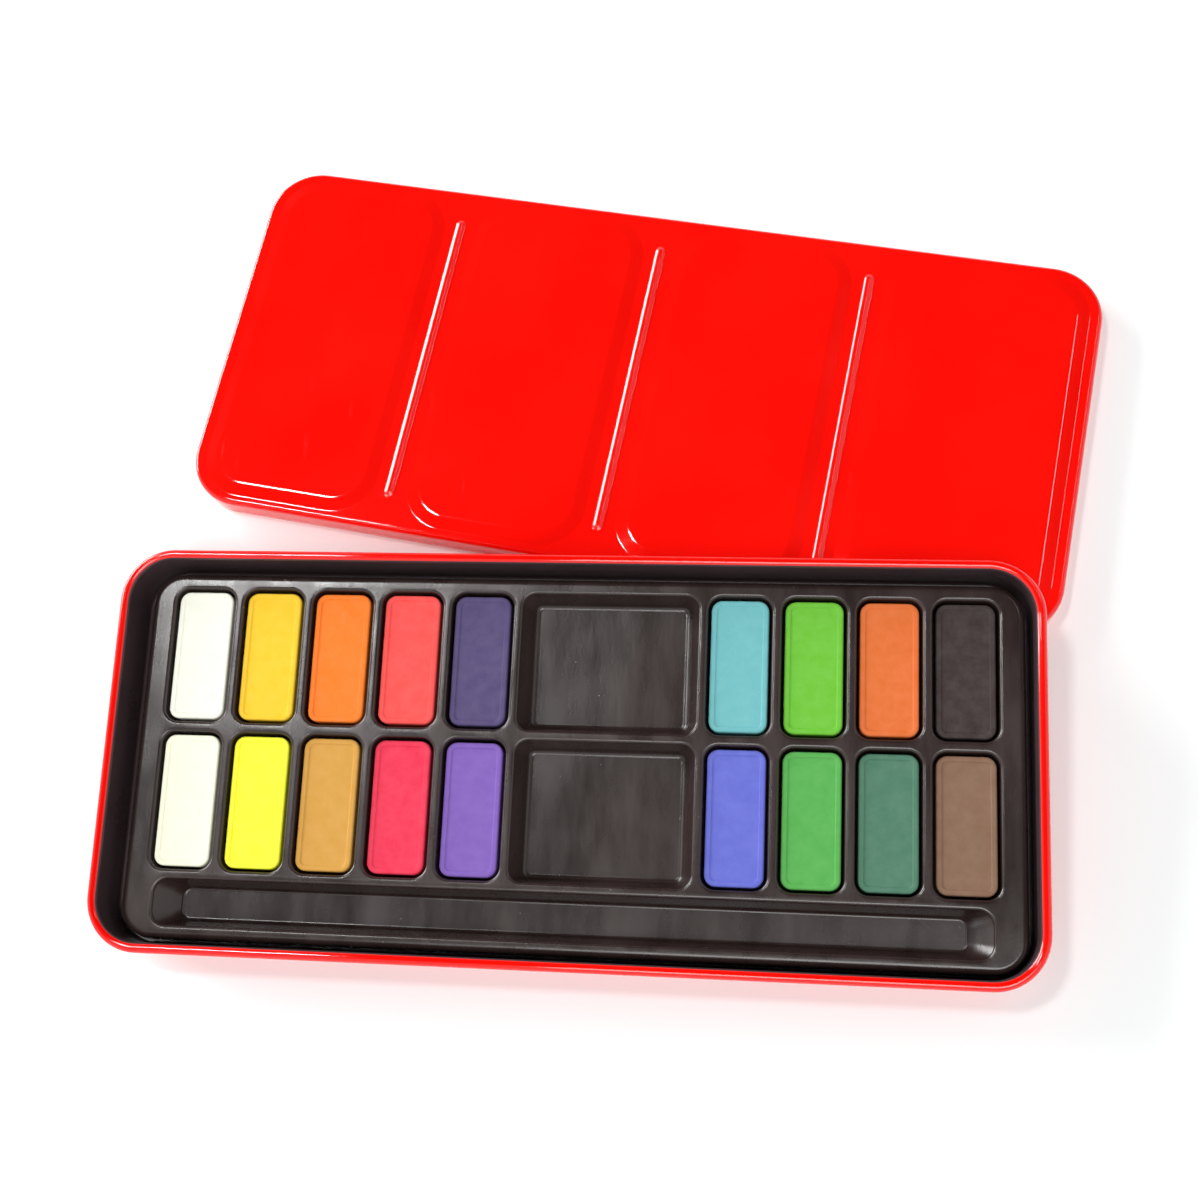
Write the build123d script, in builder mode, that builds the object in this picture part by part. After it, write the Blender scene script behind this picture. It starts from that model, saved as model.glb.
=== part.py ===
"""Watercolour paint set: an open pressed tin with a formed insert of paint blocks, leaning on its loose lid.

Millimetres. Z is up from the surface that the set lies on, X runs along the open tin and Y points to
the lid behind it. The origin is on the surface, under the middle of the whole set.
"""

import os
from math import asin, atan2, cos, degrees, hypot, radians, sin, tan

from build123d import *

# Open tin, sized to hold the insert with some play
tin_end_play = 5.9
tin_side_play = 3.8
rim_corner_radius = 12.5
tin_height = 14.0
tin_sheet = 0.35
foot_radius = 1.0
curl_diameter = 2.4
curl_end_angle = -100.0
floor_lap = 4.0

# Loose lid, a slip fit over the rim
lid_height = 6.15
lid_sheet = 0.35
lid_clearance = 0.3
lid_edge_radius = 1.2
panel_rise = 0.7
panel_bevel = 3.3
panel_corner_radius = 8.0
panel_side_margin = 3.0
panel_end_margin = 2.3
rib_count = 3
rib_pitch = 53.2
rib_shift = -2.4
rib_width = 3.0
rib_end_margin = 8.5
rib_rise = 0.6
rib_top_radius = 0.5
channel_width = 7.6

# Where the two lie
lid_turn = -9.13
tin_offset_x = -12.5
foot_setback = 139.65
prop_clearance = 0.1

# Formed plastic insert, standing on its skirt inside the tin
insert_corner_radius = 7.3
insert_offset_x = 1.15
insert_offset_y = -0.65
insert_sheet = 0.5
seat_clearance = 0.05
flange_drop = 4.8
flange_edge_radius = 1.6
skirt_draft = 2.0
shoulder_radius = 0.8
well_depth = 6.4
end_margin = 5.75
back_margin = 3.6
front_margin = 3.0
column_bar = 2.28
row_bar = 2.5

# Paint blocks and their wells
block_width = 13.2
block_length = 30.55
block_height = 5.6
block_corner_radius = 2.5
block_edge_radius = 0.45
block_border = 1.25
block_recess = 0.22
block_recess_slope = 45.0
block_gap = 0.7
well_wall_run = 0.3
left_columns = 5
right_columns = 4

# Two mixing wells between the groups of blocks
mixing_length = 40.9
mixing_bar = 2.26
mixing_end_run = 2.5
mixing_side_run = 1.4
mixing_corner_radius = 3.0
mixing_floor_radius = 1.4

# Brush trough along the front
trough_width = 10.4
trough_bar = 2.3
trough_end_margin = 7.5
trough_end_run = 5.6
trough_side_run = 1.5
trough_corner_radius = 3.4
trough_floor_radius = 0.8

BACK_ROW = ["white", "golden_yellow", "orange", "vermilion", "navy", "turquoise", "light_green",
            "burnt_orange", "black"]
FRONT_ROW = ["cream", "lemon_yellow", "ochre", "crimson", "violet", "cobalt_blue", "emerald_green",
             "viridian", "brown"]

# The insert's size follows from its wells
well_width = block_width + 2 * block_gap
well_length = block_length + 2 * block_gap
well_corner_radius = block_corner_radius + block_gap
column_pitch = well_width + column_bar
left_group_length = left_columns * column_pitch - column_bar
right_group_length = right_columns * column_pitch - column_bar
middle_length = mixing_length + 2 * mixing_bar
insert_length = left_group_length + middle_length + right_group_length + 2 * end_margin
insert_depth = back_margin + 2 * well_length + row_bar + trough_bar + trough_width + front_margin
left_group_start = -insert_length / 2 + end_margin
mixing_x = left_group_start + left_group_length + middle_length / 2
right_group_start = mixing_x + middle_length / 2
back_row_y = insert_depth / 2 - back_margin - well_length / 2
front_row_y = back_row_y - well_length - row_bar
trough_length = insert_length - 2 * trough_end_margin
trough_y = -insert_depth / 2 + front_margin + trough_width / 2

# The tin's size follows from the insert, and the lid's from the tin
wall_inset = curl_diameter - tin_sheet
curl_radius = curl_diameter / 2
rim_length = insert_length + tin_end_play + 2 * curl_diameter
rim_depth = insert_depth + tin_side_play + 2 * curl_diameter
body_length = rim_length - 2 * wall_inset
body_depth = rim_depth - 2 * wall_inset
body_corner_radius = rim_corner_radius - wall_inset
lid_growth = lid_clearance + lid_sheet
lid_length = rim_length + 2 * lid_growth
lid_depth = rim_depth + 2 * lid_growth
lid_corner_radius = rim_corner_radius + lid_growth
rib_length = lid_depth - 2 * rib_end_margin
insert_height = tin_height - tin_sheet - seat_clearance - flange_drop
skirt_run = insert_height * tan(radians(skirt_draft))
well_floor = insert_height - well_depth
turn = radians(lid_turn)


def reach(half_length, half_depth, corner_radius):
    """How far a rounded rectangle turned with the lid reaches along X and along Y."""
    along = half_length - corner_radius
    across = half_depth - corner_radius
    reach_x = along * cos(turn) + across * abs(sin(turn)) + corner_radius
    reach_y = along * abs(sin(turn)) + across * cos(turn) + corner_radius
    return reach_x, reach_y


def lean_over(front_y, height):
    """Tilt that rests the tin's floor on an edge of the lid at front_y while its foot is on the surface."""
    run = front_y + foot_setback
    rise = height + prop_clearance - foot_radius
    return atan2(rise, run) + asin(foot_radius / hypot(run, rise))


# The tin leans on whichever the floor meets first: the lid's rounded edge or its raised corner panel
panel_top_inset_x = panel_side_margin + panel_bevel
panel_top_inset_y = panel_end_margin + panel_bevel
edge_front = -reach(lid_length / 2 - lid_edge_radius, lid_depth / 2 - lid_edge_radius,
                    lid_corner_radius - lid_edge_radius)[1]
panel_front = -reach(lid_length / 2 - panel_top_inset_x, lid_depth / 2 - panel_top_inset_y,
                     panel_corner_radius)[1]
tilt = max(lean_over(edge_front, lid_height), lean_over(panel_front, lid_height + panel_rise))

# The tin's foot rounding touches the surface, which places the middle of its floor
foot_to_middle = body_depth / 2 - foot_radius
tin_y = -foot_setback + foot_to_middle * cos(tilt) + foot_radius * sin(tilt)
tin_z = foot_radius + foot_to_middle * sin(tilt) - foot_radius * cos(tilt)

# The origin goes under the middle of everything
lid_reach_x, lid_reach_y = reach(lid_length / 2, lid_depth / 2, lid_corner_radius)
rim_front = (tin_y - (rim_depth / 2 - curl_radius) * cos(tilt)
             - (tin_height - curl_radius) * sin(tilt) - curl_radius)
middle_x = (min(-lid_reach_x, tin_offset_x - rim_length / 2)
            + max(lid_reach_x, tin_offset_x + rim_length / 2)) / 2
middle_y = (rim_front + lid_reach_y) / 2

lid_plane = Plane(origin=(-middle_x, -middle_y, 0), x_dir=(cos(turn), sin(turn), 0), z_dir=(0, 0, 1))
tin_plane = Plane(origin=(tin_offset_x - middle_x, tin_y - middle_y, tin_z), x_dir=(1, 0, 0),
                  z_dir=(0, -sin(tilt), cos(tilt)))
insert_plane = Plane(
    origin=tin_plane.from_local_coords((insert_offset_x, insert_offset_y, tin_sheet + seat_clearance)),
    x_dir=tin_plane.x_dir, z_dir=tin_plane.z_dir)
tin_up = Axis(tin_plane.origin, tin_plane.z_dir)


def on_curl(radius, angle):
    """A point of the rim curl's section, out from the wall and up from the tin's underside."""
    centre_out = curl_radius - tin_sheet
    centre_up = tin_height - curl_radius
    return (centre_out + radius * cos(radians(angle)), centre_up + radius * sin(radians(angle)))


def make_tin_base():
    """Wall, foot rounding and open rim curl swept round the tin, with the floor pressed in one with them."""
    curl_inner_radius = curl_radius - tin_sheet
    curl_start = 180.0
    curl_middle = (curl_start + curl_end_angle) / 2
    inner_foot_radius = foot_radius - tin_sheet
    foot_diagonal = foot_radius * (1 - cos(radians(45)))
    inner_foot_diagonal = inner_foot_radius * (1 - cos(radians(45)))
    wall_top = tin_height - curl_radius
    half_x = body_length / 2
    half_y = body_depth / 2
    wall_plane = Plane(origin=tin_plane.from_local_coords((0, -half_y, 0)),
                       x_dir=-tin_plane.y_dir, z_dir=-tin_plane.x_dir)
    with BuildPart() as tin_base:
        with BuildLine(tin_plane) as around:
            FilletPolyline((0, -half_y), (half_x, -half_y), (half_x, half_y), (0, half_y),
                           radius=body_corner_radius)
            FilletPolyline((0, half_y), (-half_x, half_y), (-half_x, -half_y), (0, -half_y),
                           radius=body_corner_radius)
        with BuildSketch(wall_plane):
            with BuildLine():
                Line((-floor_lap, 0), (-foot_radius, 0))
                ThreePointArc((-foot_radius, 0), (-foot_diagonal, foot_diagonal), (0, foot_radius))
                Line((0, foot_radius), (0, wall_top))
                ThreePointArc((0, wall_top), on_curl(curl_inner_radius, curl_middle),
                              on_curl(curl_inner_radius, curl_end_angle))
                Line(on_curl(curl_inner_radius, curl_end_angle), on_curl(curl_radius, curl_end_angle))
                ThreePointArc(on_curl(curl_radius, curl_end_angle), on_curl(curl_radius, curl_middle),
                              (-tin_sheet, wall_top))
                Line((-tin_sheet, wall_top), (-tin_sheet, foot_radius))
                ThreePointArc((-tin_sheet, foot_radius),
                              (-tin_sheet - inner_foot_diagonal, tin_sheet + inner_foot_diagonal),
                              (-foot_radius, tin_sheet))
                Line((-foot_radius, tin_sheet), (-floor_lap, tin_sheet))
                Line((-floor_lap, tin_sheet), (-floor_lap, 0))
            make_face()
        sweep(path=around.wire())
        with BuildSketch(tin_plane):
            RectangleRounded(body_length - 2 * floor_lap, body_depth - 2 * floor_lap,
                             body_corner_radius - floor_lap)
        extrude(amount=tin_sheet)
    return tin_base.part


def panel_spans():
    """Start and end of each raised lid panel along the lid, with the ribs' channels between them."""
    rib_places = [rib_shift + rib_pitch * (i - (rib_count - 1) / 2) for i in range(rib_count)]
    starts = [-lid_length / 2 + panel_side_margin] + [x + channel_width / 2 for x in rib_places]
    ends = [x - channel_width / 2 for x in rib_places] + [lid_length / 2 - panel_side_margin]
    return list(zip(starts, ends)), rib_places


def make_rib(shrink):
    """One straight rib standing on Z = 0, with round ends and rounded top edges, drawn in by shrink."""
    with BuildPart() as rib:
        with BuildSketch(Plane.XY):
            SlotOverall(rib_length - 2 * shrink, rib_width - 2 * shrink, rotation=90)
        extrude(amount=rib_rise)
        fillet(rib.faces().sort_by(Axis.Z)[-1].edges(), rib_top_radius - shrink)
    return rib.part


def add_lid_relief(top, shrink=0.0):
    """Raises the panels and ribs from the plane at height top, each outline drawn in by shrink."""
    spans, rib_places = panel_spans()
    taper = degrees(atan2(panel_bevel, panel_rise))
    foot_depth = lid_depth - 2 * panel_end_margin - 2 * shrink
    for start, end in spans:
        with BuildSketch(lid_plane.offset(top)) as panel:
            with Locations(((start + end) / 2, 0)):
                RectangleRounded(end - start - 2 * shrink, foot_depth,
                                 panel_corner_radius + panel_bevel - shrink)
        extrude(panel.sketch, amount=panel_rise, taper=taper)
    rib = make_rib(shrink)
    with Locations(lid_plane.offset(top)):
        with Locations(*[(x, 0) for x in rib_places]):
            add(rib)


def make_tin_lid():
    """Slip-on lid of the same sheet all over, with four bevelled panels and three ribs raised in its top."""
    with BuildPart() as cavity:
        with BuildSketch(lid_plane):
            RectangleRounded(lid_length - 2 * lid_sheet, lid_depth - 2 * lid_sheet,
                             lid_corner_radius - lid_sheet)
        extrude(amount=lid_height - lid_sheet)
        fillet(cavity.faces().sort_by(Axis.Z)[-1].edges(), lid_edge_radius - lid_sheet)
        add_lid_relief(lid_height - lid_sheet, shrink=lid_sheet)
    with BuildPart() as tin_lid:
        with BuildSketch(lid_plane):
            RectangleRounded(lid_length, lid_depth, lid_corner_radius)
        extrude(amount=lid_height)
        fillet(tin_lid.faces().sort_by(Axis.Z)[-1].edges(), lid_edge_radius)
        add_lid_relief(lid_height)
        add(cavity.part, mode=Mode.SUBTRACT)
    return tin_lid.part


def make_pocket(length, width, end_run, side_run, corner_radius, depth, floor_radius, growth=0.0):
    """A well's space below Z = 0, with sloping walls. Growth makes it larger all round, and deeper."""
    floor_corner = max(corner_radius - min(end_run, side_run), floor_radius)
    with BuildPart() as pocket:
        with BuildSketch(Plane.XY):
            RectangleRounded(length + 2 * growth, width + 2 * growth, corner_radius + growth)
        with BuildSketch(Plane.XY.offset(-depth - growth)):
            RectangleRounded(length - 2 * end_run + 2 * growth, width - 2 * side_run + 2 * growth,
                             floor_corner + growth)
        loft(ruled=True)
        if floor_radius > 0:
            fillet(pocket.faces().sort_by(Axis.Z)[0].edges(), floor_radius + growth)
    return pocket.part


def well_places():
    """Middles of the paint wells in the insert's own plane, back row first, left to right."""
    columns = []
    for start, count in ((left_group_start, left_columns), (right_group_start, right_columns)):
        columns += [start + well_width / 2 + column_pitch * i for i in range(count)]
    return [(x, y) for y in (back_row_y, front_row_y) for x in columns]


def add_pockets(growth, mode):
    """Adds or cuts the space of every well, on the insert's flange."""
    paint = make_pocket(well_width, well_length, well_wall_run, well_wall_run, well_corner_radius,
                        well_depth, 0, growth)
    mixing = make_pocket(mixing_length, well_length, mixing_end_run, mixing_side_run,
                         mixing_corner_radius, well_depth, mixing_floor_radius, growth)
    trough = make_pocket(trough_length, trough_width, trough_end_run, trough_side_run,
                         trough_corner_radius, well_depth, trough_floor_radius, growth)
    with Locations(insert_plane.offset(insert_height)):
        with Locations(*well_places()):
            add(paint, mode=mode)
        with Locations((mixing_x, back_row_y), (mixing_x, front_row_y)):
            add(mixing, mode=mode)
        with Locations((0, trough_y)):
            add(trough, mode=mode)


def make_insert_tray():
    """Thin formed sheet: a skirted flange with cups for the blocks, two mixing wells and a brush trough."""
    with BuildPart() as insert_tray:
        with BuildSketch(insert_plane):
            RectangleRounded(insert_length + 2 * skirt_run, insert_depth + 2 * skirt_run,
                             insert_corner_radius + skirt_run)
        extrude(amount=insert_height, taper=skirt_draft)
        fillet(insert_tray.faces().sort_by(tin_up)[-1].edges(), flange_edge_radius)
        with BuildSketch(insert_plane):
            RectangleRounded(insert_length + 2 * skirt_run - 2 * insert_sheet,
                             insert_depth + 2 * skirt_run - 2 * insert_sheet,
                             insert_corner_radius + skirt_run - insert_sheet)
        extrude(amount=insert_height - insert_sheet, taper=skirt_draft, mode=Mode.SUBTRACT)
        add_pockets(insert_sheet, Mode.ADD)
        add_pockets(0.0, Mode.SUBTRACT)
        flange = insert_tray.faces().sort_by(tin_up)[-1]
        fillet(flange.inner_wires().edges(), shoulder_radius)
    return insert_tray.part


def make_paint_block(place):
    """One cake of paint on the floor of its well, with a shallow field pressed inside a border."""
    block_plane = Plane(
        origin=insert_plane.from_local_coords((place[0], place[1], well_floor)),
        x_dir=insert_plane.x_dir, z_dir=insert_plane.z_dir)
    with BuildPart() as block:
        with BuildSketch(block_plane):
            RectangleRounded(block_width, block_length, block_corner_radius)
        extrude(amount=block_height)
        fillet(block.faces().sort_by(tin_up)[-1].edges(), block_edge_radius)
        with BuildSketch(block_plane.offset(block_height)):
            RectangleRounded(block_width - 2 * block_border, block_length - 2 * block_border,
                             block_corner_radius - block_border / 2)
        extrude(amount=-block_recess, taper=block_recess_slope, mode=Mode.SUBTRACT)
    return block.part


pieces = {"tin_base": make_tin_base(), "insert_tray": make_insert_tray(), "tin_lid": make_tin_lid()}
for colour, place in zip(BACK_ROW + FRONT_ROW, well_places()):
    pieces[f"{colour}_paint"] = make_paint_block(place)

os.makedirs("parts", exist_ok=True)
for name, piece in pieces.items():
    piece.label = name
    export_step(piece, f"parts/{name}.step")
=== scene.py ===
"""Looks of the watercolour paint set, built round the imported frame: meshes, finishes, lights and camera.

Sizes are in millimetres until a mesh is written, in metres, in the plane of the tin, the insert or the lid.
"""

import math

import bmesh
import bpy
from mathutils import Matrix, Vector
from mathutils.geometry import delaunay_2d_cdt


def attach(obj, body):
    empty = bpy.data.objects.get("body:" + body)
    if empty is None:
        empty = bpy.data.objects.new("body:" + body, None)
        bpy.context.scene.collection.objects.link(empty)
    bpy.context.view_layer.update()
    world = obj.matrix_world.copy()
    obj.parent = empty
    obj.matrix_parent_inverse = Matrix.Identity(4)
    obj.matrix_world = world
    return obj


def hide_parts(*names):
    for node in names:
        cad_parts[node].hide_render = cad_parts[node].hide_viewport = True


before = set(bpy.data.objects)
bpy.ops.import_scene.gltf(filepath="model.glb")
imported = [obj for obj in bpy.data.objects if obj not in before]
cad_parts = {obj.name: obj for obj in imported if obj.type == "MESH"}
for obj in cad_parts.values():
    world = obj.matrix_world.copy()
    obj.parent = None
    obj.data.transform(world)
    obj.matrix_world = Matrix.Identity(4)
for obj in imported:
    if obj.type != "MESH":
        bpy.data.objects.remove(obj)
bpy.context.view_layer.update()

MM = 0.001

# Planes of the pieces in the row frame
TILT = math.radians(4.789)
TIN_ORIGIN = (-8.722, -54.998, 3.685)
LID_ORIGIN = (3.778, 40.623, 0.0)
LID_TURN = math.radians(-9.13)

# Tin
RIM_LENGTH, RIM_DEPTH, RIM_CORNER = 214.98, 94.3, 12.5
TIN_HEIGHT, TIN_SHEET, FOOT_RADIUS = 14.0, 0.35, 1.0
CURL_DIAMETER = 2.4
# Angle where the curl ends, and how many steps of its turn back to the wall are black
CURL_END = -100.0
LACQUER_STEPS = 5

# Lid
LID_LENGTH, LID_DEPTH, LID_CORNER = 216.28, 95.6, 13.15
LID_HEIGHT, LID_SHEET, LID_EDGE = 6.15, 0.35, 1.2
PANEL_RISE, PANEL_BEVEL, PANEL_CORNER = 0.7, 3.3, 8.0
PANEL_SIDE_MARGIN, PANEL_END_MARGIN = 3.0, 2.3
TOP_FOLD, FOOT_FOLD = 0.5, 0.22
RIB_PLACES = (-55.6, -2.4, 50.8)
CHANNEL_WIDTH = 7.6
RIB_LENGTH, RIB_WIDTH = 78.6, 3.0
RIB_CROWN, RIB_RUN = 0.55, 1.4

# Insert
SEAT_CLEARANCE = 0.05
INSERT_OFFSET = (1.15, -0.65, TIN_SHEET + SEAT_CLEARANCE)
INSERT_LENGTH, INSERT_DEPTH, INSERT_CORNER = 204.28, 85.7, 7.3
INSERT_HEIGHT, INSERT_SHEET = 8.8, 0.5
SKIRT_RUN, FLANGE_EDGE, SHOULDER = 0.307, 1.6, 0.8
WELL_DEPTH = 6.4
BLOCK_WIDTH, BLOCK_LENGTH, BLOCK_HEIGHT, BLOCK_CORNER = 13.2, 30.55, 5.6, 2.5
BLOCK_FOOT, BLOCK_EDGE = 0.15, 0.45
# Inset from the block's side and drop below its top, from the border to the pressed field
BLOCK_FIELD = ((1.15, 0.0), (1.22, 0.04), (1.3, 0.22), (1.5, 0.25), (1.9, 0.22))
BLOCK_GAP, COLUMN_BAR, ROW_BAR = 0.7, 2.28, 2.5
WELL_RUN, WELL_FLOOR = 0.3, 0.4
END_MARGIN, BACK_MARGIN, FRONT_MARGIN = 5.75, 3.6, 3.0
MIXING_LENGTH, MIXING_BAR, MIXING_CORNER = 40.9, 2.26, 3.0
MIXING_END_RUN, MIXING_SIDE_RUN, MIXING_FLOOR = 2.5, 1.4, 1.4
TROUGH_WIDTH, TROUGH_END_MARGIN, TROUGH_CORNER = 10.4, 7.5, 3.4
TROUGH_END_RUN, TROUGH_SIDE_RUN, TROUGH_FLOOR = 5.6, 1.5, 0.8

WELL_WIDTH = BLOCK_WIDTH + 2 * BLOCK_GAP
WELL_LENGTH = BLOCK_LENGTH + 2 * BLOCK_GAP
WELL_CORNER = BLOCK_CORNER + BLOCK_GAP
LEFT_COLUMNS, RIGHT_COLUMNS = 5, 4
COLUMN_PITCH = WELL_WIDTH + COLUMN_BAR
LEFT_START = -INSERT_LENGTH / 2 + END_MARGIN
LEFT_LENGTH = LEFT_COLUMNS * COLUMN_PITCH - COLUMN_BAR
MIXING_X = LEFT_START + LEFT_LENGTH + MIXING_BAR + MIXING_LENGTH / 2
RIGHT_START = MIXING_X + MIXING_LENGTH / 2 + MIXING_BAR
BACK_ROW_Y = INSERT_DEPTH / 2 - BACK_MARGIN - WELL_LENGTH / 2
FRONT_ROW_Y = BACK_ROW_Y - WELL_LENGTH - ROW_BAR
TROUGH_LENGTH = INSERT_LENGTH - 2 * TROUGH_END_MARGIN
TROUGH_Y = -INSERT_DEPTH / 2 + FRONT_MARGIN + TROUGH_WIDTH / 2

# Colours, as linear light
ENAMEL_DEEP, ENAMEL_PALE = (0.82, 0.003, 0.001), (0.87, 0.005, 0.002)
# Inner lacquer: its own near-black, lifted and reddened as a painted reflection of the red rim on the inner
# walls
LACQUER_AND_REFLECTION_DEEP, LACQUER_AND_REFLECTION_PALE = (0.052, 0.032, 0.036), (0.064, 0.040, 0.044)
PLASTIC_DEEP, PLASTIC_PALE = (0.017, 0.009, 0.008), (0.032, 0.018, 0.016)
DUST_COLOUR, FLOOR_COLOUR = (0.28, 0.25, 0.22), (0.925, 0.955, 0.955)
PAINTS = {
    "white": (0.931, 0.931, 0.804),
    "golden_yellow": (0.912, 0.564, 0.012),
    "orange": (0.930, 0.191, 0.004),
    "vermilion": (0.902, 0.070, 0.062),
    "navy": (0.072, 0.049, 0.152),
    "turquoise": (0.140, 0.452, 0.475),
    "light_green": (0.133, 0.491, 0.022),
    "burnt_orange": (0.696, 0.142, 0.018),
    "black": (0.029, 0.015, 0.013),
    "cream": (0.941, 0.941, 0.740),
    "lemon_yellow": (0.960, 0.960, 0.028),
    "ochre": (0.622, 0.313, 0.047),
    "crimson": (0.793, 0.021, 0.070),
    "violet": (0.194, 0.096, 0.436),
    "cobalt_blue": (0.112, 0.134, 0.575),
    "emerald_green": (0.077, 0.381, 0.064),
    "viridian": (0.059, 0.178, 0.109),
    "brown": (0.213, 0.114, 0.065),
}
BACK_ROW = ["white", "golden_yellow", "orange", "vermilion", "navy", "turquoise", "light_green",
            "burnt_orange", "black"]
FRONT_ROW = ["cream", "lemon_yellow", "ochre", "crimson", "violet", "cobalt_blue", "emerald_green",
             "viridian", "brown"]

# Studio: half the floor's side in metres, and for each lamp its name, its direction from the middle of the
# set, its size in metres and its power in watts
FLOOR_HALF = 1.0
LAMP_DISTANCE = 3.2
SOFTBOXES = (
    ("glint", (-0.355, 0.19, 0.915), (0.40, 0.40), 24.0),
    ("low_left", (-0.83, 0.47, 0.31), (1.20, 2.20), 108.0),
    ("overhead", (0.12, -0.42, 0.90), (1.80, 1.40), 46.0),
    ("right_strip", (0.45, 0.34, 0.825), (0.10, 0.84), 3.4),
)
AMBIENT, CANOPY_AMBIENT = 0.74, 0.02
CANOPY_DIRECTION = (-0.08, 0.40, 0.90)
CANOPY_FROM, CANOPY_FULL = 0.55, 0.80
HORIZON_LIGHT, HORIZON_FROM, HORIZON_TO = 1.0, 0.10, 0.40

# Camera, found from the photograph's perspective: its place in millimetres, its directions, its lens with
# the frame in pixels and the sensor in millimetres, and its near limit in metres
CAMERA_PLACE = (46.57, -132.44, 370.62)
CAMERA_LOOK, CAMERA_UP = (-0.12832, 0.30336, -0.94420), (-0.01595, 0.95131, 0.30782)
FOCAL_PIXELS, FRAME_PIXELS, SENSOR_WIDTH = 1619.2, 1200, 36.0
CLIP_START = 0.01

tin_matrix = Matrix.Translation(Vector(TIN_ORIGIN) * MM) @ Matrix.Rotation(TILT, 4, "X")
insert_matrix = tin_matrix @ Matrix.Translation(Vector(INSERT_OFFSET) * MM)
lid_matrix = Matrix.Translation(Vector(LID_ORIGIN) * MM) @ Matrix.Rotation(LID_TURN, 4, "Z")


class Shell:
    """A mesh grown ring by ring. Rings are rounded rectangles with equal numbers of points."""

    def __init__(self, corner_steps=10):
        self.bm = bmesh.new()
        self.corner_steps = corner_steps

    def ring(self, length, depth, corner, z, x=0.0, y=0.0):
        """Points of a rounded rectangle about (x, y), anticlockwise seen from above."""
        corner = max(corner, 0.02)
        points = []
        for quarter, (sx, sy) in enumerate(((1, -1), (1, 1), (-1, 1), (-1, -1))):
            cx = x + sx * (length / 2 - corner)
            cy = y + sy * (depth / 2 - corner)
            for step in range(self.corner_steps + 1):
                angle = math.radians(-90 + 90 * quarter + 90 * step / self.corner_steps)
                points.append((cx + corner * math.cos(angle), cy + corner * math.sin(angle), z))
        return [self.bm.verts.new(p) for p in points]

    def join(self, outer, inner, slot=0):
        """Quads between two rings, with their faces turned up where inner lies inside outer."""
        count = len(outer)
        for i in range(count):
            j = (i + 1) % count
            face = self.bm.faces.new((outer[i], outer[j], inner[j], inner[i]))
            face.material_index = slot

    def strip(self, rings, slots=None):
        for i in range(len(rings) - 1):
            self.join(rings[i], rings[i + 1], slots[i] if slots else 0)

    def cap(self, ring, slot=0, down=False):
        face = self.bm.faces.new(list(reversed(ring)) if down else ring)
        face.material_index = slot

    def fill(self, loops, slot=0):
        """Flat faces inside the first loop, left open where the other loops lie."""
        corners, rounds = [], []
        for loop in loops:
            rounds.append(list(range(len(corners), len(corners) + len(loop))))
            corners += loop
        flat = [Vector((v.co.x, v.co.y)) for v in corners]
        _, _, faces, came_from, _, parts_of = delaunay_2d_cdt(flat, [], rounds, 1, 1e-6)
        for face, parts in zip(faces, parts_of):
            if parts == [0]:
                made = self.bm.faces.new([corners[came_from[i][0]] for i in face])
                made.material_index = slot

    def finish(self, name, matrix, materials, thickness=0.0):
        """Writes the mesh in metres, gives it a sheet's thickness if asked, and smooths it by face size."""
        self.bm.normal_update()
        if not thickness:
            bmesh.ops.recalc_face_normals(self.bm, faces=self.bm.faces)
        mesh = bpy.data.meshes.new(name)
        self.bm.to_mesh(mesh)
        self.bm.free()
        mesh.transform(matrix @ Matrix.Scale(MM, 4))
        obj = bpy.data.objects.new(name, mesh)
        bpy.context.scene.collection.objects.link(obj)
        for material in materials:
            mesh.materials.append(material)
        for polygon in mesh.polygons:
            polygon.use_smooth = True
        if thickness:
            solid = obj.modifiers.new("sheet", "SOLIDIFY")
            solid.thickness = thickness * MM
            solid.offset = -1.0
        weighted = obj.modifiers.new("even", "WEIGHTED_NORMAL")
        weighted.keep_sharp = True
        return obj


def arc(start_angle, end_angle, steps):
    """Cosines and sines along an arc, in degrees, both ends included."""
    angles = [math.radians(start_angle + (end_angle - start_angle) * i / steps) for i in range(steps + 1)]
    return [(math.cos(a), math.sin(a)) for a in angles]


def inset_ring(shell, size, inset, z, x=0.0, y=0.0):
    """Ring drawn in by inset from size = (length, depth, corner)."""
    length, depth, corner = size
    return shell.ring(length - 2 * inset, depth - 2 * inset, corner - inset, z, x, y)


# Node helpers
def new_material(name):
    material = bpy.data.materials.new(name)
    material.use_nodes = True
    tree = material.node_tree
    shader = tree.nodes["Principled BSDF"]
    return material, tree, shader


def add_noise(tree, scale, detail=3.0, roughness=0.5, stretch=None):
    """Noise in the piece's own coordinates, drawn out by stretch along X, Y and Z."""
    coordinates = tree.nodes.new("ShaderNodeTexCoord")
    source = coordinates.outputs["Object"]
    if stretch:
        mapping = tree.nodes.new("ShaderNodeMapping")
        mapping.inputs["Scale"].default_value = stretch
        tree.links.new(source, mapping.inputs["Vector"])
        source = mapping.outputs["Vector"]
    noise = tree.nodes.new("ShaderNodeTexNoise")
    noise.inputs["Scale"].default_value = scale
    noise.inputs["Detail"].default_value = detail
    noise.inputs["Roughness"].default_value = roughness
    tree.links.new(source, noise.inputs["Vector"])
    return noise.outputs["Fac"]


def add_range(tree, value, low, high, from_low=0.3, from_high=0.7):
    node = tree.nodes.new("ShaderNodeMapRange")
    node.inputs["From Min"].default_value = from_low
    node.inputs["From Max"].default_value = from_high
    node.inputs["To Min"].default_value = low
    node.inputs["To Max"].default_value = high
    tree.links.new(value, node.inputs["Value"])
    return node.outputs["Result"]


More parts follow.
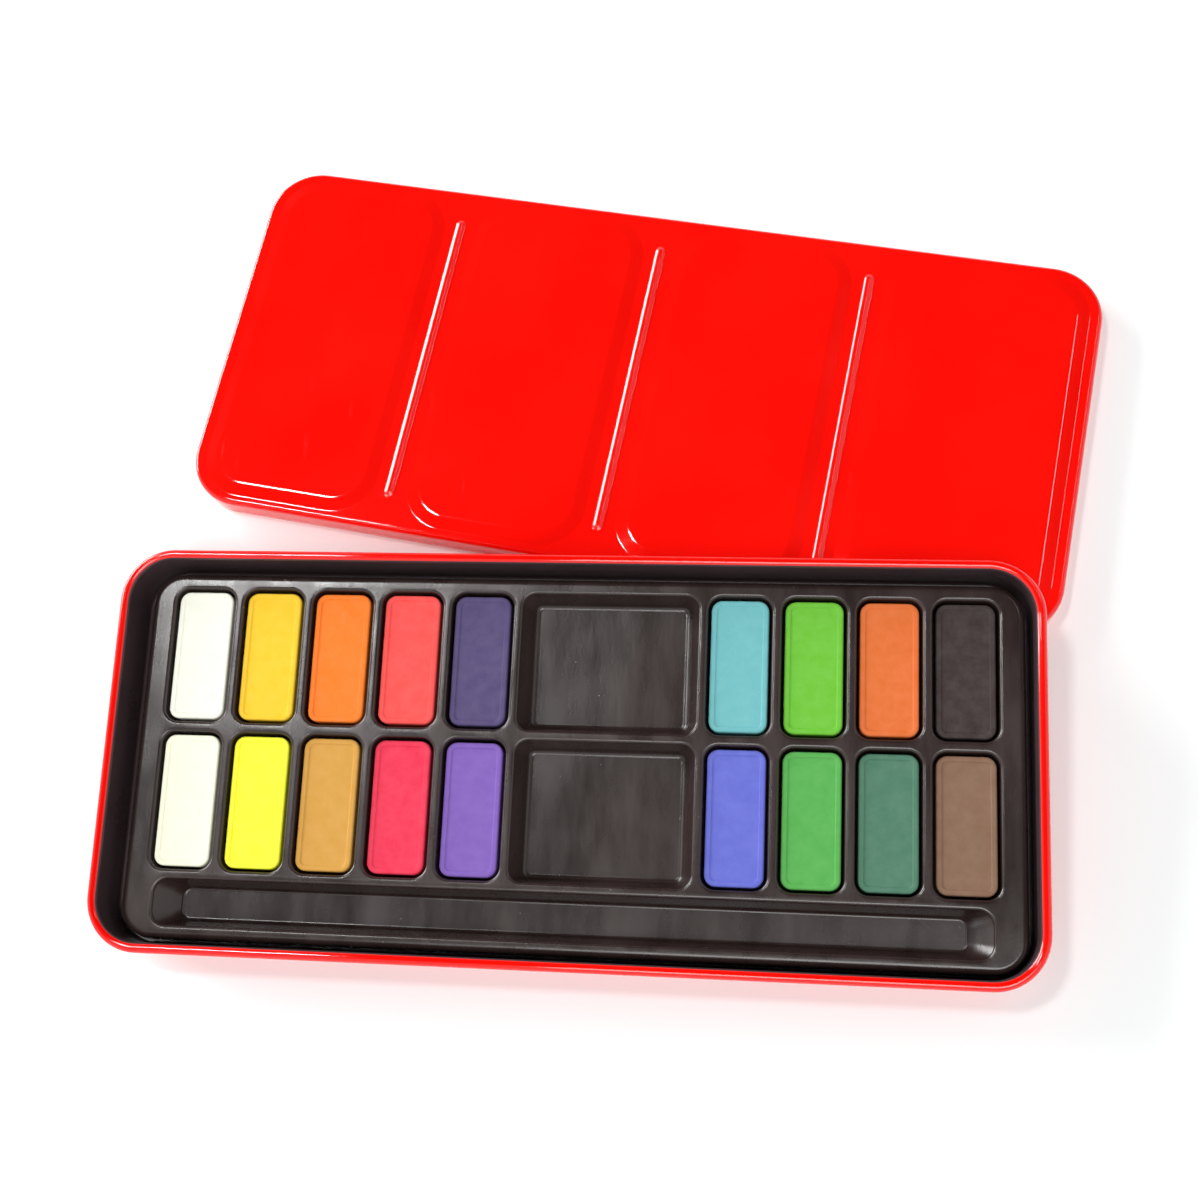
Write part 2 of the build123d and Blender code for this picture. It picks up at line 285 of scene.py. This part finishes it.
def add_mix(tree, factor, first, second):
    node = tree.nodes.new("ShaderNodeMix")
    node.data_type = "RGBA"
    for socket, colour in ((node.inputs["A"], first), (node.inputs["B"], second)):
        if isinstance(colour, bpy.types.NodeSocket):
            tree.links.new(colour, socket)
        else:
            socket.default_value = (*colour, 1.0)
    tree.links.new(factor, node.inputs["Factor"])
    return node.outputs["Result"]


def add_sum(tree, first, first_weight, second, second_weight):
    """First and second added up, each times its weight."""
    scaled = tree.nodes.new("ShaderNodeMath")
    scaled.operation = "MULTIPLY"
    scaled.inputs[1].default_value = second_weight
    tree.links.new(second, scaled.inputs[0])
    total = tree.nodes.new("ShaderNodeMath")
    total.operation = "MULTIPLY_ADD"
    total.inputs[1].default_value = first_weight
    tree.links.new(first, total.inputs[0])
    tree.links.new(scaled.outputs[0], total.inputs[2])
    return total.outputs[0]


def add_bump(tree, shader, height, strength, distance_mm):
    node = tree.nodes.new("ShaderNodeBump")
    node.inputs["Strength"].default_value = strength
    node.inputs["Distance"].default_value = distance_mm * MM
    tree.links.new(height, node.inputs["Height"])
    tree.links.new(node.outputs["Normal"], shader.inputs["Normal"])


def red_enamel():
    """Stoved enamel on tin plate: glossy red, faint orange peel, cloudy colour and hairlines of use."""
    material, tree, shader = new_material("red_enamel")
    clouds = add_noise(tree, 35.0, 2.0)
    colour = add_mix(tree, add_range(tree, clouds, 0.0, 1.0), ENAMEL_DEEP, ENAMEL_PALE)
    tree.links.new(colour, shader.inputs["Base Color"])
    handling = add_noise(tree, 420.0, 3.0, 0.6, stretch=(1.0, 0.12, 1.0))
    worn = add_sum(tree, add_range(tree, clouds, 0.05, 0.08), 1.0,
                   add_range(tree, handling, 0.0, 1.0, 0.64, 0.74), 0.08)
    tree.links.new(worn, shader.inputs["Roughness"])
    shader.inputs["Specular IOR Level"].default_value = 0.45
    shader.inputs["Coat Weight"].default_value = 0.5
    shader.inputs["Coat Roughness"].default_value = 0.03
    add_bump(tree, shader, add_noise(tree, 700.0, 2.0), 0.08, 0.05)
    return material


def black_lacquer():
    """Inside of the tin: black lacquer, glossy with a soft waviness from the pressing, its colour lifted and
    reddened by a painted reflection of the red rim.
    """
    material, tree, shader = new_material("black_lacquer")
    clouds = add_noise(tree, 60.0, 3.0)
    colour = add_mix(tree, add_range(tree, clouds, 0.0, 1.0), LACQUER_AND_REFLECTION_DEEP, LACQUER_AND_REFLECTION_PALE)
    tree.links.new(colour, shader.inputs["Base Color"])
    tree.links.new(add_range(tree, clouds, 0.27, 0.33), shader.inputs["Roughness"])
    add_bump(tree, shader, add_noise(tree, 90.0, 2.0), 0.15, 0.2)
    return material


def black_plastic():
    """Vacuum-formed black sheet: semi-gloss, faint streaks drawn along Y, a fine grain and stray dust."""
    material, tree, shader = new_material("black_plastic")
    streaks = add_noise(tree, 120.0, 4.0, 0.6, stretch=(1.0, 0.25, 1.0))
    grain = add_noise(tree, 1500.0, 2.0)
    dust = add_noise(tree, 900.0, 1.0)
    base = add_mix(tree, add_range(tree, streaks, 0.0, 1.0), PLASTIC_DEEP, PLASTIC_PALE)
    speck = add_range(tree, dust, 0.0, 1.0, 0.80, 0.84)
    tree.links.new(add_mix(tree, speck, base, DUST_COLOUR), shader.inputs["Base Color"])
    tree.links.new(add_range(tree, streaks, 0.22, 0.33), shader.inputs["Roughness"])
    shader.inputs["Specular IOR Level"].default_value = 0.7
    waves = add_noise(tree, 45.0, 1.0)
    height = add_sum(tree, add_sum(tree, grain, 0.035, streaks, 0.2), 1.0, waves, 1.6)
    add_bump(tree, shader, height, 0.5, 0.6)
    return material


def paint_cake(name, colour):
    """Dry pressed watercolour: matte, faintly mottled and grainy."""
    material, tree, shader = new_material(f"{name}_cake")
    mottle = add_noise(tree, 320.0, 5.0, 0.65)
    grain = add_noise(tree, 2600.0, 2.0)
    darker = tuple(channel * 0.94 for channel in colour)
    lighter = tuple(channel + (1 - channel) * 0.03 for channel in colour)
    base = add_mix(tree, add_range(tree, mottle, 0.0, 1.0), darker, lighter)
    tree.links.new(base, shader.inputs["Base Color"])
    tree.links.new(add_range(tree, mottle, 0.62, 0.78), shader.inputs["Roughness"])
    shader.inputs["Specular IOR Level"].default_value = 0.3
    add_bump(tree, shader, add_sum(tree, grain, 0.2, mottle, 1.0), 0.3, 0.15)
    return material


def build_tin(red, black):
    """Tin base as one turned-over sheet: floor, foot, wall and open curl, red outside and black inside."""
    shell = Shell(corner_steps=16)
    size = (RIM_LENGTH, RIM_DEPTH, RIM_CORNER)
    curl = CURL_DIAMETER / 2
    curl_up = TIN_HEIGHT - curl
    outer_wall = CURL_DIAMETER - TIN_SHEET
    profile = [(outer_wall + FOOT_RADIUS * (1 - c), FOOT_RADIUS * (1 - s), 0) for c, s in arc(90, 0, 6)]
    profile += [(curl - (curl - TIN_SHEET) * c, curl_up + (curl - TIN_SHEET) * s, 0)
                for c, s in arc(180, CURL_END, 18)]
    profile += [(curl - curl * c, curl_up + curl * s, 0) for c, s in arc(CURL_END, 180, 26)]
    inner_foot = FOOT_RADIUS - TIN_SHEET
    lacquer_from = len(profile) - LACQUER_STEPS
    profile += [(CURL_DIAMETER + inner_foot * (1 - c), FOOT_RADIUS - inner_foot * s, 1)
                for c, s in arc(0, 90, 5)]
    rings = [inset_ring(shell, size, inset, z) for inset, z, _ in profile]
    slots = [1 if i >= lacquer_from else 0 for i in range(len(rings) - 1)]
    shell.strip(rings, slots)
    shell.cap(rings[0], 0, down=True)
    shell.cap(rings[-1], 1)
    tin = shell.finish("tin_base_pressed", tin_matrix, [red, black])
    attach(tin, "tin")
    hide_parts("tin_base")


def soft_ramp(run, half):
    """Zero up to the fold and rising by one in one past it, rounded over half on each side."""
    if run <= -half:
        return 0.0
    if run >= half:
        return run
    return (run + half) ** 2 / (4 * half)


def panel_height(inset):
    """Height of a panel's edge at a distance in from its foot: sharp fold below, softer fold on top."""
    slope = PANEL_RISE / PANEL_BEVEL
    return slope * (soft_ramp(inset, FOOT_FOLD) - soft_ramp(inset - PANEL_BEVEL, TOP_FOLD))


def build_lid(red):
    """Pressed lid: rounded edge and skirt, raised panels with soft folds, and the ribs between them."""
    shell = Shell(corner_steps=14)
    size = (LID_LENGTH, LID_DEPTH, LID_CORNER)
    edge = [(0.0, 0.0), (0.0, LID_HEIGHT * 0.5)]
    edge += [(LID_EDGE * (1 - c), LID_HEIGHT - LID_EDGE * (1 - s)) for c, s in arc(0, 90, 8)]
    rings = [inset_ring(shell, size, inset, z) for inset, z in edge]
    shell.strip(rings)
    starts = [-LID_LENGTH / 2 + PANEL_SIDE_MARGIN] + [x + CHANNEL_WIDTH / 2 for x in RIB_PLACES]
    ends = [x - CHANNEL_WIDTH / 2 for x in RIB_PLACES] + [LID_LENGTH / 2 - PANEL_SIDE_MARGIN]
    holes = []
    fold_steps = [i / 4 for i in range(-4, 5)]
    insets = [FOOT_FOLD * step for step in fold_steps] + [PANEL_BEVEL / 2]
    insets += [PANEL_BEVEL + TOP_FOLD * step for step in fold_steps]
    for start, end in zip(starts, ends):
        panel = (end - start, LID_DEPTH - 2 * PANEL_END_MARGIN, PANEL_CORNER + PANEL_BEVEL)
        middle = (start + end) / 2
        loops = [inset_ring(shell, panel, inset, LID_HEIGHT + panel_height(inset), middle)
                 for inset in insets]
        shell.strip(loops)
        shell.cap(loops[-1])
        holes.append(loops[0])
    rib_profile = [(RIB_RUN * i / 10, RIB_CROWN * (1 - math.cos(math.pi * i / 10)) / 2) for i in range(11)]
    for x in RIB_PLACES:
        rib = (RIB_WIDTH, RIB_LENGTH, RIB_WIDTH / 2)
        loops = [inset_ring(shell, rib, inset, LID_HEIGHT + rise, x) for inset, rise in rib_profile]
        shell.strip(loops)
        shell.cap(loops[-1])
        holes.append(loops[0])
    shell.fill([rings[-1]] + holes)
    lid = shell.finish("tin_lid_pressed", lid_matrix, [red], thickness=LID_SHEET)
    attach(lid, "lid")
    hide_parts("tin_lid")


def well_rings(shell, x, y, size, run, floor_radius):
    """Rings of one well from its shoulder on the flange down to the edge of its floor."""
    length, width, corner = size
    end_run, side_run = run
    top = INSERT_HEIGHT
    rings = [shell.ring(length + 2 * SHOULDER * (1 - c), width + 2 * SHOULDER * (1 - c),
                        corner + SHOULDER * (1 - c), top - SHOULDER * (1 - s), x, y)
             for c, s in arc(90, 0, 6)]
    depth = WELL_DEPTH
    for share in (0.55, 1.0):
        drop = SHOULDER + (depth - SHOULDER - floor_radius) * share
        part = drop / depth
        rings.append(shell.ring(length - 2 * end_run * part, width - 2 * side_run * part,
                                corner - min(end_run, side_run) * part * 0.5, top - drop, x, y))
    part = (depth - floor_radius) / depth
    for c, s in arc(0, 90, 6)[1:]:
        inset_x = end_run * part + floor_radius * (1 - c)
        inset_y = side_run * part + floor_radius * (1 - c)
        rings.append(shell.ring(length - 2 * inset_x, width - 2 * inset_y,
                                max(corner - inset_y, 0.8), top - depth + floor_radius * (1 - s), x, y))
    shell.strip(rings)
    return rings


def well_places():
    columns = [LEFT_START + WELL_WIDTH / 2 + COLUMN_PITCH * i for i in range(LEFT_COLUMNS)]
    columns += [RIGHT_START + WELL_WIDTH / 2 + COLUMN_PITCH * i for i in range(RIGHT_COLUMNS)]
    return [(x, y) for y in (BACK_ROW_Y, FRONT_ROW_Y) for x in columns]


def build_insert(plastic):
    """Formed insert: skirt, rounded flange edge, paint wells, two mixing wells and the brush trough."""
    shell = Shell(corner_steps=8)
    size = (INSERT_LENGTH + 2 * SKIRT_RUN, INSERT_DEPTH + 2 * SKIRT_RUN, INSERT_CORNER + SKIRT_RUN)
    skirt = [(0.0, 0.0), (SKIRT_RUN * 0.8, INSERT_HEIGHT - FLANGE_EDGE)]
    skirt += [(SKIRT_RUN + FLANGE_EDGE * (1 - c), INSERT_HEIGHT - FLANGE_EDGE * (1 - s))
              for c, s in arc(8, 90, 8)]
    rings = [inset_ring(shell, size, inset, z) for inset, z in skirt]
    shell.strip(rings)
    holes = []
    for x, y in well_places():
        loops = well_rings(shell, x, y, (WELL_WIDTH, WELL_LENGTH, WELL_CORNER), (WELL_RUN, WELL_RUN),
                           WELL_FLOOR)
        shell.cap(loops[-1])
        holes.append(loops[0])
    for y in (BACK_ROW_Y, FRONT_ROW_Y):
        loops = well_rings(shell, MIXING_X, y, (MIXING_LENGTH, WELL_LENGTH, MIXING_CORNER),
                           (MIXING_END_RUN, MIXING_SIDE_RUN), MIXING_FLOOR)
        shell.cap(loops[-1])
        holes.append(loops[0])
    loops = well_rings(shell, 0, TROUGH_Y, (TROUGH_LENGTH, TROUGH_WIDTH, TROUGH_CORNER),
                       (TROUGH_END_RUN, TROUGH_SIDE_RUN), TROUGH_FLOOR)
    shell.cap(loops[-1])
    holes.append(loops[0])
    shell.fill([rings[-1]] + holes)
    tray = shell.finish("insert_tray_formed", insert_matrix, [plastic], thickness=INSERT_SHEET)
    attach(tray, "insert")
    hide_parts("insert_tray")


def build_block(colour_name, place):
    """A cake of paint: straight sides, rounded top edge, a border and a shallow pressed field."""
    shell = Shell(corner_steps=8)
    size = (BLOCK_WIDTH, BLOCK_LENGTH, BLOCK_CORNER)
    top = BLOCK_HEIGHT
    profile = [(BLOCK_FOOT, 0.0), (0.0, BLOCK_FOOT), (0.0, top - BLOCK_EDGE)]
    profile += [(BLOCK_EDGE * (1 - c), top - BLOCK_EDGE * (1 - s)) for c, s in arc(0, 90, 6)[1:]]
    profile += [(inset, top - drop) for inset, drop in BLOCK_FIELD]
    rings = [inset_ring(shell, size, inset, z) for inset, z in profile]
    shell.strip(rings)
    shell.cap(rings[0], down=True)
    shell.cap(rings[-1])
    floor_z = INSERT_HEIGHT - WELL_DEPTH
    matrix = insert_matrix @ Matrix.Translation(Vector((place[0], place[1], floor_z)) * MM)
    block = shell.finish(f"{colour_name}_cake", matrix, [paint_cake(colour_name, PAINTS[colour_name])])
    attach(block, "insert")
    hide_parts(f"{colour_name}_paint")


def build_stage():
    """Plain pale floor and the studio round it."""
    mesh = bpy.data.meshes.new("floor")
    sides = ((-1, -1), (1, -1), (1, 1), (-1, 1))
    mesh.from_pydata([(FLOOR_HALF * x, FLOOR_HALF * y, 0) for x, y in sides], [], [(0, 1, 2, 3)])
    floor = bpy.data.objects.new("floor", mesh)
    bpy.context.scene.collection.objects.link(floor)
    material, _, shader = new_material("pale_floor")
    shader.inputs["Base Color"].default_value = (*FLOOR_COLOUR, 1.0)
    shader.inputs["Roughness"].default_value = 0.9
    mesh.materials.append(material)
    build_world()


def build_world():
    """Dim studio, white at the horizon, with a dark canopy up behind the set where its flat faces mirror."""
    world = bpy.data.worlds.new("studio")
    world.use_nodes = True
    tree = world.node_tree
    coordinates = tree.nodes.new("ShaderNodeTexCoord")
    towards = {}
    for name, direction in (("canopy", CANOPY_DIRECTION), ("up", (0.0, 0.0, 1.0))):
        towards[name] = tree.nodes.new("ShaderNodeVectorMath")
        towards[name].operation = "DOT_PRODUCT"
        towards[name].inputs[1].default_value = Vector(direction).normalized()
        tree.links.new(coordinates.outputs["Generated"], towards[name].inputs[0])
    sky = add_range(tree, towards["canopy"].outputs["Value"], AMBIENT, CANOPY_AMBIENT, CANOPY_FROM,
                    CANOPY_FULL)
    horizon = add_range(tree, towards["up"].outputs["Value"], HORIZON_LIGHT, 0.0, HORIZON_FROM, HORIZON_TO)
    strength = tree.nodes.new("ShaderNodeMath")
    strength.operation = "MAXIMUM"
    tree.links.new(sky, strength.inputs[0])
    tree.links.new(horizon, strength.inputs[1])
    tree.nodes["Background"].inputs["Color"].default_value = (1.0, 1.0, 1.0, 1.0)
    tree.links.new(strength.outputs[0], tree.nodes["Background"].inputs["Strength"])
    bpy.context.scene.world = world


def add_softbox(name, direction, size, power):
    """A lamp off in one direction and facing the set, unseen by the camera, of size = (across, along)."""
    data = bpy.data.lights.new(name, "AREA")
    data.shape = "RECTANGLE"
    data.size, data.size_y = size
    data.energy = power
    lamp = bpy.data.objects.new(name, data)
    back = Vector(direction).normalized()
    across = Vector((0, 1, 0)).cross(back).normalized()
    along = back.cross(across)
    turned = Matrix((across, along, back)).transposed().to_4x4()
    lamp.matrix_world = Matrix.Translation(back * LAMP_DISTANCE) @ turned
    lamp.visible_camera = False
    bpy.context.scene.collection.objects.link(lamp)


def build_camera():
    """Camera with the photograph's view and frame."""
    position = Vector(CAMERA_PLACE) * MM
    look = Vector(CAMERA_LOOK).normalized()
    right = look.cross(Vector(CAMERA_UP)).normalized()
    up = right.cross(look)
    data = bpy.data.cameras.new("camera")
    data.sensor_width = SENSOR_WIDTH
    data.lens = SENSOR_WIDTH * FOCAL_PIXELS / FRAME_PIXELS
    data.clip_start = CLIP_START
    camera = bpy.data.objects.new("camera", data)
    camera.matrix_world = Matrix((
        (right.x, up.x, -look.x, position.x),
        (right.y, up.y, -look.y, position.y),
        (right.z, up.z, -look.z, position.z),
        (0, 0, 0, 1)))
    bpy.context.scene.collection.objects.link(camera)
    bpy.context.scene.camera = camera


enamel = red_enamel()
build_tin(enamel, black_lacquer())
build_lid(enamel)
build_insert(black_plastic())
for colour_name, place in zip(BACK_ROW + FRONT_ROW, well_places()):
    build_block(colour_name, place)
build_stage()
for name, direction, size, power in SOFTBOXES:
    add_softbox(name, direction, size, power)
build_camera()
bpy.context.scene.view_settings.view_transform = "Standard"
